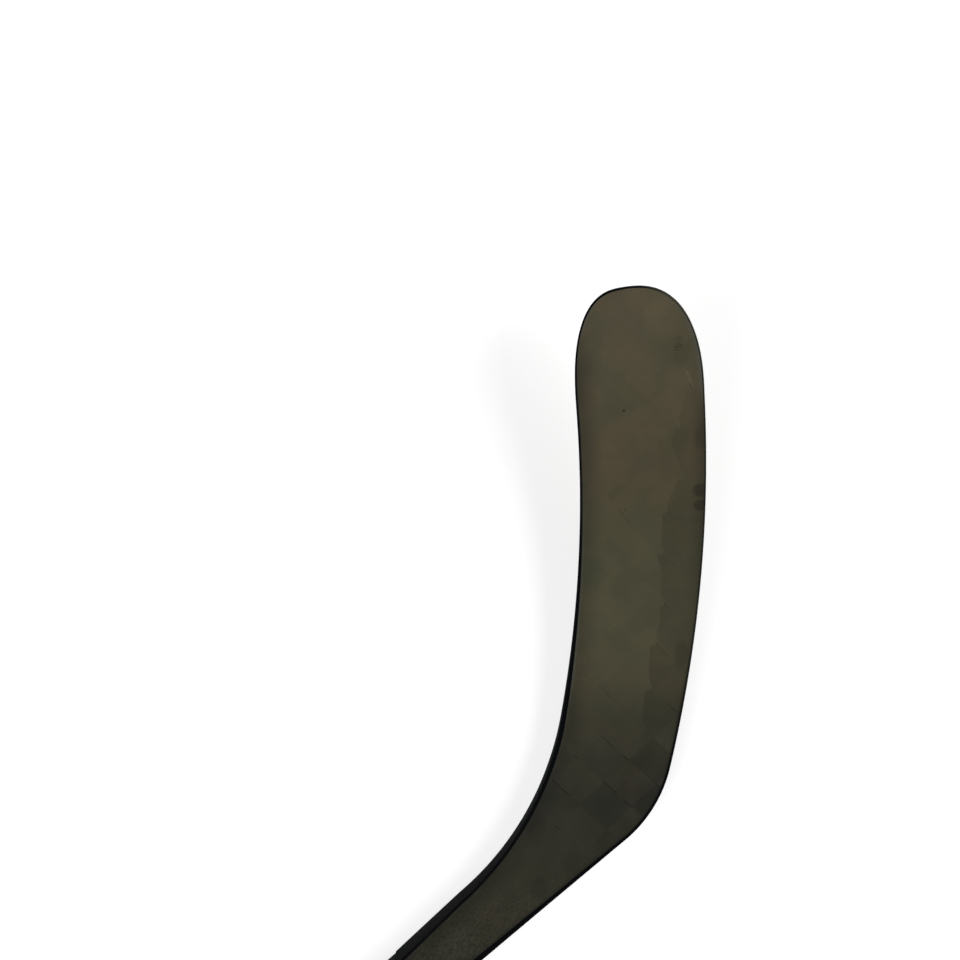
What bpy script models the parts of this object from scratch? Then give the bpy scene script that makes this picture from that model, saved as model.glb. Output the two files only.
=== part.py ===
"""Ice hockey stick: a hollow carbon shaft, and a curved foam-cored blade with a hosel and tenon.

The stick lies on its back.  +X runs along the shaft from the butt to the blade, the blade turns
towards +Y, and +Z points out of the concave front face.  The blade and hosel are laid out in plan,
as rungs between the ice edge and the top edge, and then bent onto the blade's middle surface.
"""
import math
from collections import namedtuple

import bmesh
import bpy
from mathutils import Vector

# Shaft, in metres.  X = 0 is the heel reference, and Y = 0 the middle of the shaft.
SHAFT_WIDTH = 0.0305
SHAFT_DEPTH = 0.0200
SHAFT_WALL = 0.0016
SHAFT_CORNER = 0.0036
CORNER_STEPS = 4
HEEL_X = 0.020
HEEL_TO_BUTT = 1.524
JOINT_X = -0.160
GAP = 0.0003  # left between pieces that are bonded together

# Plan of the hosel and blade: edges are straight flares followed by arcs that turn left.
TOP_FLARE_END = (-0.1069, 0.0176)
ICE_FLARE_END = (-0.0072, -0.0198)
THROAT_RADIUS = 0.1836
THROAT_TURN = math.radians(39.2)
TOP_RADIUS = 0.6668
TOP_LENGTH = 0.1808
HEEL_RADIUS = 0.0780
HEEL_TURN = math.radians(36.1)
ROCKER_RADIUS = 0.6387
ROCKER_LENGTH = 0.2180
TOE_LENGTH = 0.0622
TOE_CENTRE = 0.42  # how far from the top edge to the ice edge the toe's tip lies
TOE_POWER_ICE = 2.48  # superellipse powers of the toe's two quarters
TOE_POWER_TOP = 2.66

# Rungs join a distance along the top edge to a distance along the ice edge.
RUNG_TIES = ((0.0, 0.0), (0.0532, 0.0532), (0.1500, 0.1600), (0.1788, 0.2260), (0.3596, 0.4200))
RUNG_STEPS = (3, 9, 6, 16)
TOE_ANGLES = [math.radians(degrees) for degrees in (0, 6, 15, 26, 38, 50, 61, 71, 80, 86)]
CORE_START = 15  # the rung where the hosel core ends and the foam cores begin
CORE_END = -2

# Blade bend: lie between shaft and blade, a constant curve, and an open face growing to the toe.
LIE = math.radians(45)
CURVE_RADIUS = 0.800
LOFT = math.radians(8)
LOFT_LENGTH = 0.300

# Thickness falls from the shaft's depth at the joint to the toe's.
TOE_DEPTH = 0.0042
TAPER_LENGTH = 0.150
TAPER_POWER = 1.25
SKIN = 0.0009

# Rails: widths across the face.  The top rail swells where the hosel turns into the blade.
ICE_RAIL_AT_JOINT = 0.0042
ICE_RAIL_AT_TOE = 0.0006
TOP_RAIL_AT_JOINT = 0.0014
TOP_RAIL_AT_TOE = 0.0009
TOP_RAIL_SWELL = 0.0015
SWELL_STATION = 0.190
SWELL_SPREAD = 0.080
CHAMFER_AT_JOINT = 0.0012
CHAMFER_AT_TOE = 0.0005

RIB_PLACE = 0.56  # share of the height above the ice edge
RIB_WIDTH = 0.0030
TENON_LENGTH = 0.075
TENON_LEAD = 0.004
TENON_TIP = 0.85  # share of the full section that the tenon keeps at its tip
NECK_START = 0.0015  # before the joint, where the tenon narrows to fit between the rails
NECK_END = 0.0009
CORE_CHAMFER = 0.2  # share of the hosel core's half thickness
PLUG_CAP = 0.006
PLUG_SPIGOT = 0.045
PLUG_WALL = 0.0020
PLUG_BEVEL = 0.0015

Rung = namedtuple("Rung", "low high station angle")


def clear_scene():
    for obj in list(bpy.data.objects):
        bpy.data.objects.remove(obj, do_unlink=True)


def material(name, colour, roughness):
    mat = bpy.data.materials.new(name)
    mat.use_nodes = True
    shader = mat.node_tree.nodes["Principled BSDF"]
    shader.inputs["Base Color"].default_value = (*colour, 1.0)
    shader.inputs["Roughness"].default_value = roughness
    shader.inputs["Metallic"].default_value = 0.0
    return mat


def finish(name, bm, mat):
    """Turn a bmesh into a closed, outward-facing object with smooth round parts."""
    bmesh.ops.recalc_face_normals(bm, faces=bm.faces)
    mesh = bpy.data.meshes.new(name)
    bm.to_mesh(mesh)
    bm.free()
    mesh.shade_smooth()
    mesh.set_sharp_from_angle(angle=math.radians(30))
    mesh.materials.append(mat)
    obj = bpy.data.objects.new(name, mesh)
    bpy.context.scene.collection.objects.link(obj)
    return obj


# --- plan of the blade -------------------------------------------------------------------------

def along(start, flare_end, arcs, distance):
    """The point at a distance along a straight flare and the arcs that follow it."""
    start = Vector(start)
    corner = Vector(flare_end)
    flare = (corner - start).length
    if distance <= flare:
        return start.lerp(corner, distance / flare)
    point = corner
    left = distance - flare
    heading = 0.0
    for radius, length in arcs:
        run = min(left, length)
        turn = run / radius
        chord = 2 * radius * math.sin(turn / 2)
        point = point + chord * Vector((math.cos(heading + turn / 2), math.sin(heading + turn / 2)))
        heading += turn
        left -= run
    return point


def top_edge(distance):
    arcs = ((THROAT_RADIUS, THROAT_RADIUS * THROAT_TURN), (TOP_RADIUS, TOP_LENGTH))
    return along((JOINT_X, SHAFT_WIDTH / 2), TOP_FLARE_END, arcs, distance)


def ice_edge(distance):
    arcs = ((HEEL_RADIUS, HEEL_RADIUS * HEEL_TURN), (ROCKER_RADIUS, ROCKER_LENGTH))
    return along((JOINT_X, -SHAFT_WIDTH / 2), ICE_FLARE_END, arcs, distance)


TOE_TOP = top_edge(RUNG_TIES[-1][0])
TOE_ICE = ice_edge(RUNG_TIES[-1][1])
TOE_MIDDLE = TOE_TOP.lerp(TOE_ICE, TOE_CENTRE)
TOE_HEADING = THROAT_TURN + TOP_LENGTH / TOP_RADIUS
TOE_FORWARD = Vector((math.cos(TOE_HEADING), math.sin(TOE_HEADING)))


def toe_point(side, power, angle, inset):
    """A point on one quarter of the toe's superellipse, drawn in by the inset."""
    reach = side - TOE_MIDDLE
    out = reach * (1 - inset / reach.length) * math.cos(angle) ** (2 / power)
    forward = TOE_FORWARD * (TOE_LENGTH - inset) * math.sin(angle) ** (2 / power)
    return TOE_MIDDLE + out + forward


def edge_points(rung, ice_inset, top_inset):
    """The rung's two ends, ice edge first, each drawn in from the outline by its own inset."""
    if rung.angle is not None:
        low = toe_point(TOE_ICE, TOE_POWER_ICE, rung.angle, ice_inset)
        high = toe_point(TOE_TOP, TOE_POWER_TOP, rung.angle, top_inset)
        return low, high
    across = (rung.high - rung.low).normalized()
    return rung.low + across * ice_inset, rung.high - across * top_inset


def make_rungs():
    """The rungs from the joint to the toe; those past the top edge's end carry a toe angle."""
    rungs = []
    for begin, end, steps in zip(RUNG_TIES, RUNG_TIES[1:], RUNG_STEPS):
        for step in range(steps):
            share = step / steps
            top = begin[0] + (end[0] - begin[0]) * share
            ice = begin[1] + (end[1] - begin[1]) * share
            rungs.append(Rung(ice_edge(ice), top_edge(top), (top + ice) / 2, None))
    toe_station = sum(RUNG_TIES[-1]) / 2
    for angle in TOE_ANGLES:
        station = toe_station + TOE_LENGTH * math.sin(angle)
        rungs.append(Rung(TOE_ICE, TOE_TOP, station, angle))
    return rungs


# --- depth of the blade ------------------------------------------------------------------------

def depth(station):
    fall = math.exp(-((station / TAPER_LENGTH) ** TAPER_POWER))
    return TOE_DEPTH + (SHAFT_DEPTH - TOE_DEPTH) * fall


def fade(station, at_joint, at_toe):
    """A size that falls from the joint to the toe along with the thickness."""
    share = (depth(station) - TOE_DEPTH) / (SHAFT_DEPTH - TOE_DEPTH)
    return at_toe + (at_joint - at_toe) * share


def rail_widths(station):
    """Widths of the ice edge's rail and the top edge's rail."""
    swell = TOP_RAIL_SWELL * math.exp(-(((station - SWELL_STATION) / SWELL_SPREAD) ** 2))
    ice = fade(station, ICE_RAIL_AT_JOINT, ICE_RAIL_AT_TOE)
    top = fade(station, TOP_RAIL_AT_JOINT, TOP_RAIL_AT_TOE) + swell
    return ice, top


def inside_rails(rung):
    """The rung's ends just clear of both rails."""
    ice, top = rail_widths(rung.station)
    return edge_points(rung, ice + GAP, top + GAP)


def middle_height(x, y):
    """Height of the blade's middle surface over the shaft's middle plane."""
    forward = x * math.cos(LIE) + y * math.sin(LIE)
    upward = y * math.cos(LIE) - x * math.sin(LIE)
    reach = max(forward, 0.0)
    loft = LOFT * min(reach / LOFT_LENGTH, 1.0)
    return reach ** 2 / (2 * CURVE_RADIUS) - upward * math.sin(loft)


def bend(point, offset):
    """Carry a plan point onto the middle surface, then out along its normal by the offset."""
    step = 0.0005
    x, y = point
    slope_x = (middle_height(x + step, y) - middle_height(x - step, y)) / (2 * step)
    slope_y = (middle_height(x, y + step) - middle_height(x, y - step)) / (2 * step)
    normal = Vector((-slope_x, -slope_y, 1.0)).normalized()
    return Vector((x, y, middle_height(x, y))) + normal * offset


# --- solids ------------------------------------------------------------------------------------

def bent_solid(name, rows, mat):
    """Close a solid over rows of (plan point, lower offset, upper offset)."""
    bm = bmesh.new()
    lower = [[bm.verts.new(bend(point, low)) for point, low, high in row] for row in rows]
    upper = [[bm.verts.new(bend(point, high)) for point, low, high in row] for row in rows]
    last = len(rows[0]) - 1
    for here, there in zip(range(len(rows) - 1), range(1, len(rows))):
        for sheet in (lower, upper):
            for column in range(last):
                bm.faces.new((sheet[here][column], sheet[there][column],
                              sheet[there][column + 1], sheet[here][column + 1]))
        for column in (0, last):
            bm.faces.new((lower[here][column], lower[there][column],
                          upper[there][column], upper[here][column]))
    for end in (0, -1):
        for column in range(last):
            bm.faces.new((lower[end][column], lower[end][column + 1],
                          upper[end][column + 1], upper[end][column]))
    return finish(name, bm, mat)


def rounded_ring(x, width, height, radius):
    """The corners of a rounded rectangle across the shaft at X."""
    points = []
    corners = ((1, 1, 0), (-1, 1, 90), (-1, -1, 180), (1, -1, 270))
    for side_y, side_z, start in corners:
        for step in range(CORNER_STEPS + 1):
            angle = math.radians(start + 90 * step / CORNER_STEPS)
            y = side_y * (width / 2 - radius) + radius * math.cos(angle)
            z = side_z * (height / 2 - radius) + radius * math.sin(angle)
            points.append(Vector((x, y, z)))
    return points


def ring_solid(name, rings, mat, tube=False):
    """Bridge rings one to the next; a tube joins its last ring to its first."""
    bm = bmesh.new()
    loops = [[bm.verts.new(point) for point in ring] for ring in rings]
    pairs = list(zip(loops, loops[1:]))
    if tube:
        pairs.append((loops[-1], loops[0]))
    else:
        bm.faces.new(loops[0])
        bm.faces.new(loops[-1])
    for first, second in pairs:
        for here in range(len(first)):
            there = (here + 1) % len(first)
            bm.faces.new((first[here], first[there], second[there], second[here]))
    return finish(name, bm, mat)


# --- sub-parts ---------------------------------------------------------------------------------

def make_shaft(mat):
    butt = HEEL_X - HEEL_TO_BUTT + PLUG_CAP + GAP
    end = JOINT_X - GAP
    inner = (SHAFT_WIDTH - 2 * SHAFT_WALL, SHAFT_DEPTH - 2 * SHAFT_WALL, SHAFT_CORNER - SHAFT_WALL)
    outer = (SHAFT_WIDTH, SHAFT_DEPTH, SHAFT_CORNER)
    rings = [rounded_ring(butt, *outer), rounded_ring(end, *outer),
             rounded_ring(end, *inner), rounded_ring(butt, *inner)]
    return ring_solid("shaft_tube", rings, mat, tube=True)


def make_plug(mat):
    """A cap as wide as the shaft on a hollow spigot that is pressed into it."""
    face = HEEL_X - HEEL_TO_BUTT
    shoulder = face + PLUG_CAP
    tip = shoulder + PLUG_SPIGOT
    slack = 2 * (SHAFT_WALL + GAP)
    width = SHAFT_WIDTH - slack
    height = SHAFT_DEPTH - slack
    corner = SHAFT_CORNER - SHAFT_WALL
    wall = 2 * PLUG_WALL
    bevel = 2 * PLUG_BEVEL
    rings = [
        rounded_ring(face, SHAFT_WIDTH - bevel, SHAFT_DEPTH - bevel, SHAFT_CORNER - PLUG_BEVEL),
        rounded_ring(face + PLUG_BEVEL, SHAFT_WIDTH, SHAFT_DEPTH, SHAFT_CORNER),
        rounded_ring(shoulder, SHAFT_WIDTH, SHAFT_DEPTH, SHAFT_CORNER),
        rounded_ring(shoulder, width, height, corner),
        rounded_ring(tip, width, height, corner),
        rounded_ring(tip, width - wall, height - wall, corner / 2),
        rounded_ring(shoulder, width - wall, height - wall, corner / 2),
    ]
    return ring_solid("butt_plug", rings, mat)


def block_row(low, high, half):
    """Four columns that give a rung's section chamfered corners."""
    chamfer = half * CORE_CHAMFER
    across = (high - low).normalized() * chamfer
    trimmed = half - chamfer
    return [(low, -trimmed, trimmed), (low + across, -half, half),
            (high - across, -half, half), (high, -trimmed, trimmed)]


def make_hosel_core(rungs, mat):
    """The moulded block between the hosel's skins, with the tenon that enters the shaft."""
    half_width = SHAFT_WIDTH / 2 - SHAFT_WALL - GAP
    half_height = SHAFT_DEPTH / 2 - SHAFT_WALL - GAP
    tip = JOINT_X - TENON_LENGTH
    neck_low, neck_high = (point.y for point in inside_rails(rungs[0]))
    neck_high = min(neck_high, half_width)
    sections = ((tip, -TENON_TIP * half_width, TENON_TIP * half_width, TENON_TIP * half_height),
                (tip + TENON_LEAD, -half_width, half_width, half_height),
                (JOINT_X - NECK_START, -half_width, half_width, half_height),
                (JOINT_X - NECK_END, neck_low, neck_high, half_height),
                (JOINT_X - GAP, neck_low, neck_high, half_height))
    rows = []
    for x, low, high, height in sections:
        rows.append(block_row(Vector((x, low)), Vector((x, high)), height))
    for rung in rungs[:CORE_START]:
        half = depth(rung.station) / 2 - SKIN - GAP
        rows.append(block_row(*inside_rails(rung), half))
    return bent_solid("hosel_core", rows, mat)


def skin_rows(rungs, side):
    columns = 6
    rows = []
    for rung in rungs:
        outside = depth(rung.station) / 2
        inside = outside - SKIN
        low, high = inside_rails(rung)
        offsets = (inside, outside) if side > 0 else (-outside, -inside)
        rows.append([(low.lerp(high, column / columns), *offsets) for column in range(columns + 1)])
    return rows


def rail_row(rung, end):
    """Inner edge, shoulder and chamfered outer edge of the rim at one end of a rung."""
    half = depth(rung.station) / 2
    chamfer = fade(rung.station, CHAMFER_AT_JOINT, CHAMFER_AT_TOE)
    inner = edge_points(rung, *rail_widths(rung.station))[end]
    shoulder = edge_points(rung, chamfer, chamfer)[end]
    outer = edge_points(rung, 0.0, 0.0)[end]
    return [(inner, -half, half), (shoulder, -half, half), (outer, chamfer - half, half - chamfer)]


def shifted(rung, ice, top):
    """The same rung moved a little along both edges, to leave a joint line."""
    return Rung(ice_edge(RUNG_TIES[-1][1] + ice), top_edge(RUNG_TIES[-1][0] + top), rung.station, None)


def make_rails(rungs, mat):
    toe = next(index for index, rung in enumerate(rungs) if rung.angle is not None)
    straight = rungs[:toe] + [shifted(rungs[toe], -GAP, -GAP)]
    bent_solid("ice_edge_rail", [rail_row(rung, 0) for rung in straight], mat)
    bent_solid("top_edge_rail", [rail_row(rung, 1) for rung in straight], mat)
    tip = Rung(TOE_ICE, TOE_TOP, rungs[-1].station, math.radians(90))
    rows = [rail_row(rung, 0) for rung in rungs[toe:]] + [rail_row(tip, 0)]
    rows += [rail_row(rung, 1) for rung in reversed(rungs[toe:])]
    bent_solid("toe_cap", rows, mat)


def make_cores(rungs, foam, rib_mat):
    """Two foam cores with a rib between them, shut in by the skins and rails."""
    strips = {"foam_core_lower": [], "core_rib": [], "foam_core_upper": []}
    for rung in rungs[CORE_START:CORE_END]:
        half = depth(rung.station) / 2 - SKIN - GAP
        low, high = inside_rails(rung)
        length = (high - low).length
        across = (high - low) / length
        rib_low = low + across * (length * RIB_PLACE - RIB_WIDTH / 2)
        rib_high = rib_low + across * RIB_WIDTH
        strips["foam_core_lower"].append([(low, -half, half), (rib_low - across * GAP, -half, half)])
        strips["core_rib"].append([(rib_low, -half, half), (rib_high, -half, half)])
        strips["foam_core_upper"].append([(rib_high + across * GAP, -half, half), (high, -half, half)])
    for name, rows in strips.items():
        bent_solid(name, rows, rib_mat if name == "core_rib" else foam)


def stand_on_origin():
    """Hang every piece on an empty that puts the origin under the middle of the stick's box."""
    pieces = list(bpy.data.objects)
    corners = [vertex.co for piece in pieces for vertex in piece.data.vertices]
    low = [min(corner[axis] for corner in corners) for axis in range(3)]
    high = [max(corner[axis] for corner in corners) for axis in range(3)]
    origin = bpy.data.objects.new("stick_origin", None)
    bpy.context.scene.collection.objects.link(origin)
    origin.location = (-(low[0] + high[0]) / 2, -(low[1] + high[1]) / 2, -low[2])
    for piece in pieces:
        piece.parent = origin
    bpy.context.view_layer.update()


def main():
    clear_scene()
    carbon = material("carbon_cloth", (0.060, 0.053, 0.034), 0.45)
    paint = material("edge_paint", (0.006, 0.006, 0.006), 0.50)
    shaft = material("shaft_laminate", (0.012, 0.014, 0.015), 0.35)
    moulding = material("moulded_composite", (0.020, 0.020, 0.020), 0.60)
    foam = material("core_foam", (0.600, 0.560, 0.440), 0.90)
    rubber = material("plug_plastic", (0.010, 0.010, 0.010), 0.55)
    rungs = make_rungs()
    make_shaft(shaft)
    make_plug(rubber)
    make_hosel_core(rungs, moulding)
    bent_solid("blade_front_skin", skin_rows(rungs, 1), carbon)
    bent_solid("blade_back_skin", skin_rows(rungs, -1), carbon)
    make_rails(rungs, paint)
    make_cores(rungs, foam, moulding)
    stand_on_origin()


main()
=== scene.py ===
"""Looks of the ice hockey stick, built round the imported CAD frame.

The blade, hosel, shaft and plug are rebuilt as fine meshes on the CAD model's own formulas, and
every surface gets a procedural material: spread-tow carbon under a satin clear coat, matte black
edge paint, and a tacky grip at the butt end.
"""
import math
from collections import namedtuple

import bmesh
import bpy
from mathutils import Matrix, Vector


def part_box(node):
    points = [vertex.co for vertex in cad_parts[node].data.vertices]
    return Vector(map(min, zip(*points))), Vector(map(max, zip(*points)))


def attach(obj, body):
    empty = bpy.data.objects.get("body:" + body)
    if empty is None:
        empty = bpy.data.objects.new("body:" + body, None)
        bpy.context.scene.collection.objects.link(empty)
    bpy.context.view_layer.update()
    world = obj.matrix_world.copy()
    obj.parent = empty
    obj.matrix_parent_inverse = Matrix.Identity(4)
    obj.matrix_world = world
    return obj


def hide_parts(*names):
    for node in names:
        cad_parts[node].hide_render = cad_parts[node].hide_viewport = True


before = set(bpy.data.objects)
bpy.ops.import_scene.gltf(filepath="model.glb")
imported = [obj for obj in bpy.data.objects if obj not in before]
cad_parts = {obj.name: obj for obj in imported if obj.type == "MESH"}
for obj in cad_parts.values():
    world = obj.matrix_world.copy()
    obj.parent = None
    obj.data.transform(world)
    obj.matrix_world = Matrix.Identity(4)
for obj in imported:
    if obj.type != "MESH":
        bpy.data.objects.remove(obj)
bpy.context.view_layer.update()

# --- the frame: the heel reference lies on the shaft's axis --------------------------------------

HEEL_FROM_BUTT = 1.504
shaft_low, shaft_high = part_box("shaft_tube")
plug_low, plug_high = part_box("butt_plug")
HEEL = Vector((plug_low.x + HEEL_FROM_BUTT,
               (shaft_low.y + shaft_high.y) / 2,
               (shaft_low.z + shaft_high.z) / 2))
SHAFT_WIDTH = shaft_high.y - shaft_low.y
SHAFT_DEPTH = shaft_high.z - shaft_low.z
MM = 1000.0  # millimetres in a metre
SHAFT_WALL = 0.0016
SHAFT_CORNER = 0.0036
JOINT_X = -0.160
BUTT_X = -HEEL_FROM_BUTT
PLUG_CAP = shaft_low.x - plug_low.x

# --- plan and depth of the blade, as in the CAD model --------------------------------------------

TOP_FLARE_END = (-0.1069, 0.0176)
ICE_FLARE_END = (-0.0072, -0.0198)
THROAT_RADIUS = 0.1836
THROAT_TURN = math.radians(39.2)
TOP_RADIUS = 0.6668
TOP_LENGTH = 0.1808
HEEL_RADIUS = 0.0780
HEEL_TURN = math.radians(36.1)
ROCKER_RADIUS = 0.6387
ROCKER_LENGTH = 0.2180
TOE_LENGTH = 0.0622
TOE_CENTRE = 0.42  # share of the way from the top edge to the ice edge
TOE_POWER_ICE = 2.48
TOE_POWER_TOP = 2.66
# Distances along the top edge and the ice edge that a rung ties together.
RUNG_TIES = ((0.0, 0.0), (0.0532, 0.0532), (0.1500, 0.1600), (0.1788, 0.2260), (0.3596, 0.4200))
RUNG_STEPS = (12, 40, 26, 64)
TOE_STEPS = 32
TOE_LAST = math.radians(88.5)  # the skins end just short of the toe's tip
SKIN_COLUMNS = 30

LIE = math.radians(45)
CURVE_RADIUS = 0.800
LOFT = math.radians(8)
LOFT_LENGTH = 0.300
TOE_DEPTH = 0.0042
TAPER_LENGTH = 0.150
TAPER_POWER = 1.25
SKIN = 0.0009
ICE_RAIL_AT_JOINT = 0.0042
ICE_RAIL_AT_TOE = 0.0006
TOP_RAIL_AT_JOINT = 0.0014
TOP_RAIL_AT_TOE = 0.0009
TOP_RAIL_SWELL = 0.0015
SWELL_STATION = 0.190
SWELL_SPREAD = 0.080
ROUND_AT_JOINT = 0.0012  # radius of the rounded arris
ROUND_AT_TOE = 0.0005
ROUND_STEPS = 6
SLOPE_STEP = 0.0005

# One straight line across the blade: its ends on the ice edge and the top edge, how far along the
# stick it lies, and its angle round the toe, if it is past the end of the top edge.
Rung = namedtuple("Rung", "low high station angle")

# --- shaft and plug ------------------------------------------------------------------------------

CORNER_STEPS = 10
SHAFT_RINGS = 48
PLUG_ROUND = 0.0022
PLUG_ROUND_STEPS = 6
PLUG_GROOVE = 0.0006
PLUG_GROOVE_RUN = ((0.72, 0.0), (0.76, PLUG_GROOVE), (0.88, PLUG_GROOVE), (0.92, 0.0), (1.0, 0.0))
PLUG_PANEL_RIM = 0.0036
PLUG_PANEL_DEPTH = 0.0007
PLUG_SPIGOT = 0.045
PLUG_GAP = 0.0003
PLUG_LEAST_CORNER = 0.0008

# --- the blade's surfaces ------------------------------------------------------------------------

def along(start, flare_end, arcs, distance):
    """The point at a distance along a straight flare and the arcs that follow it."""
    start = Vector(start)
    corner = Vector(flare_end)
    flare = (corner - start).length
    if distance <= flare:
        return start.lerp(corner, distance / flare)
    point = corner
    left = distance - flare
    heading = 0.0
    for radius, length in arcs:
        run = min(left, length)
        turn = run / radius
        chord = 2 * radius * math.sin(turn / 2)
        point = point + chord * Vector((math.cos(heading + turn / 2), math.sin(heading + turn / 2)))
        heading += turn
        left -= run
    return point


def top_edge(distance):
    """A point on the top edge of hosel and blade, at a distance from the joint."""
    arcs = ((THROAT_RADIUS, THROAT_RADIUS * THROAT_TURN), (TOP_RADIUS, TOP_LENGTH))
    return along((JOINT_X, SHAFT_WIDTH / 2), TOP_FLARE_END, arcs, distance)


def ice_edge(distance):
    """A point on the ice edge of hosel and blade, at a distance from the joint."""
    arcs = ((HEEL_RADIUS, HEEL_RADIUS * HEEL_TURN), (ROCKER_RADIUS, ROCKER_LENGTH))
    return along((JOINT_X, -SHAFT_WIDTH / 2), ICE_FLARE_END, arcs, distance)


TOE_TOP = top_edge(RUNG_TIES[-1][0])
TOE_ICE = ice_edge(RUNG_TIES[-1][1])
TOE_MIDDLE = TOE_TOP.lerp(TOE_ICE, TOE_CENTRE)
TOE_HEADING = THROAT_TURN + TOP_LENGTH / TOP_RADIUS
TOE_FORWARD = Vector((math.cos(TOE_HEADING), math.sin(TOE_HEADING)))


def toe_point(side, power, angle, inset):
    """A point on one quarter of the toe's superellipse, drawn in by the inset."""
    reach = side - TOE_MIDDLE
    out = reach * (1 - inset / reach.length) * math.cos(angle) ** (2 / power)
    forward = TOE_FORWARD * (TOE_LENGTH - inset) * math.sin(angle) ** (2 / power)
    return TOE_MIDDLE + out + forward


def edge_points(rung, ice_inset, top_inset):
    """The rung's two ends, ice edge first, each drawn in from the outline by its own inset."""
    if rung.angle is not None:
        low = toe_point(TOE_ICE, TOE_POWER_ICE, rung.angle, ice_inset)
        high = toe_point(TOE_TOP, TOE_POWER_TOP, rung.angle, top_inset)
        return low, high
    across = (rung.high - rung.low).normalized()
    return rung.low + across * ice_inset, rung.high - across * top_inset


def make_rungs():
    """The rungs from the joint to the toe; those past the top edge's end carry a toe angle."""
    rungs = []
    for begin, end, steps in zip(RUNG_TIES, RUNG_TIES[1:], RUNG_STEPS):
        for step in range(steps):
            share = step / steps
            top = begin[0] + (end[0] - begin[0]) * share
            ice = begin[1] + (end[1] - begin[1]) * share
            rungs.append(Rung(ice_edge(ice), top_edge(top), (top + ice) / 2, None))
    toe_station = sum(RUNG_TIES[-1]) / 2
    for step in range(TOE_STEPS + 1):
        angle = TOE_LAST * step / TOE_STEPS
        rungs.append(Rung(TOE_ICE, TOE_TOP, toe_station + TOE_LENGTH * math.sin(angle), angle))
    return rungs


def depth(station):
    """Thickness of hosel and blade, from the shaft's depth down to the toe's."""
    fall = math.exp(-((station / TAPER_LENGTH) ** TAPER_POWER))
    return TOE_DEPTH + (SHAFT_DEPTH - TOE_DEPTH) * fall


def fade(station, at_joint, at_toe):
    """A size that falls from the joint to the toe along with the thickness."""
    share = (depth(station) - TOE_DEPTH) / (SHAFT_DEPTH - TOE_DEPTH)
    return at_toe + (at_joint - at_toe) * share


def rail_widths(station):
    """Widths of the ice edge's rail and the top edge's rail."""
    swell = TOP_RAIL_SWELL * math.exp(-(((station - SWELL_STATION) / SWELL_SPREAD) ** 2))
    ice = fade(station, ICE_RAIL_AT_JOINT, ICE_RAIL_AT_TOE)
    top = fade(station, TOP_RAIL_AT_JOINT, TOP_RAIL_AT_TOE) + swell
    return ice, top


def middle_height(x, y):
    """Height of the blade's middle surface over the shaft's middle plane."""
    forward = x * math.cos(LIE) + y * math.sin(LIE)
    upward = y * math.cos(LIE) - x * math.sin(LIE)
    reach = max(forward, 0.0)
    loft = LOFT * min(reach / LOFT_LENGTH, 1.0)
    return reach ** 2 / (2 * CURVE_RADIUS) - upward * math.sin(loft)


def bend(point, offset):
    """Carry a plan point onto the middle surface, then out along its normal by the offset."""
    x, y = point
    step = SLOPE_STEP
    slope_x = (middle_height(x + step, y) - middle_height(x - step, y)) / (2 * step)
    slope_y = (middle_height(x, y + step) - middle_height(x, y - step)) / (2 * step)
    normal = Vector((-slope_x, -slope_y, 1.0)).normalized()
    return HEEL + Vector((x, y, middle_height(x, y))) + normal * offset


# --- meshes --------------------------------------------------------------------------------------

SHARP_ANGLE = math.radians(40)
WEAR_AT_FLAT = 0.3  # of the wear on the middle of the rounded arris


def finish_piece(name, bm, mat, node, values=None):
    """Close up a piece, stand it in for its CAD node, and keep a named value on each point."""
    bmesh.ops.recalc_face_normals(bm, faces=bm.faces)
    mesh = bpy.data.meshes.new(name)
    bm.to_mesh(mesh)
    bm.free()
    mesh.shade_smooth()
    mesh.set_sharp_from_angle(angle=SHARP_ANGLE)
    mesh.materials.append(mat)
    for label, numbers in (values or {}).items():
        layer = mesh.attributes.new(label, "FLOAT", "POINT")
        layer.data.foreach_set("value", numbers)
    piece = bpy.data.objects.new(name, mesh)
    bpy.context.scene.collection.objects.link(piece)
    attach(piece, "root")
    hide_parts(node)


def bent_mesh(rows):
    """A closed solid over rows of (plan point, lower offset, upper offset)."""
    bm = bmesh.new()
    lower = [[bm.verts.new(bend(point, low)) for point, low, high in row] for row in rows]
    upper = [[bm.verts.new(bend(point, high)) for point, low, high in row] for row in rows]
    last = len(rows[0]) - 1
    for here, there in zip(range(len(rows) - 1), range(1, len(rows))):
        for sheet in (lower, upper):
            for column in range(last):
                bm.faces.new((sheet[here][column], sheet[there][column],
                              sheet[there][column + 1], sheet[here][column + 1]))
        for column in (0, last):
            bm.faces.new((lower[here][column], lower[there][column],
                          upper[there][column], upper[here][column]))
    for end in (0, -1):
        for column in range(last):
            bm.faces.new((lower[end][column], lower[end][column + 1],
                          upper[end][column + 1], upper[end][column]))
    return bm


def make_skin(name, node, rungs, side, mat):
    """One face of the blade and hosel; each point knows how far it is from both painted rims."""
    rows = []
    to_top = []
    to_ice = []
    for rung in rungs:
        outside = depth(rung.station) / 2
        inside = outside - SKIN
        low, high = edge_points(rung, *rail_widths(rung.station))
        offsets = (inside, outside) if side > 0 else (-outside, -inside)
        row = []
        for column in range(SKIN_COLUMNS + 1):
            share = column / SKIN_COLUMNS
            row.append((low.lerp(high, share), *offsets))
            to_ice.append((high - low).length * share)
            to_top.append((high - low).length * (1 - share))
        rows.append(row)
    values = {"to_top": to_top * 2, "to_ice": to_ice * 2}
    finish_piece(name, bent_mesh(rows), mat, node, values)


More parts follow.
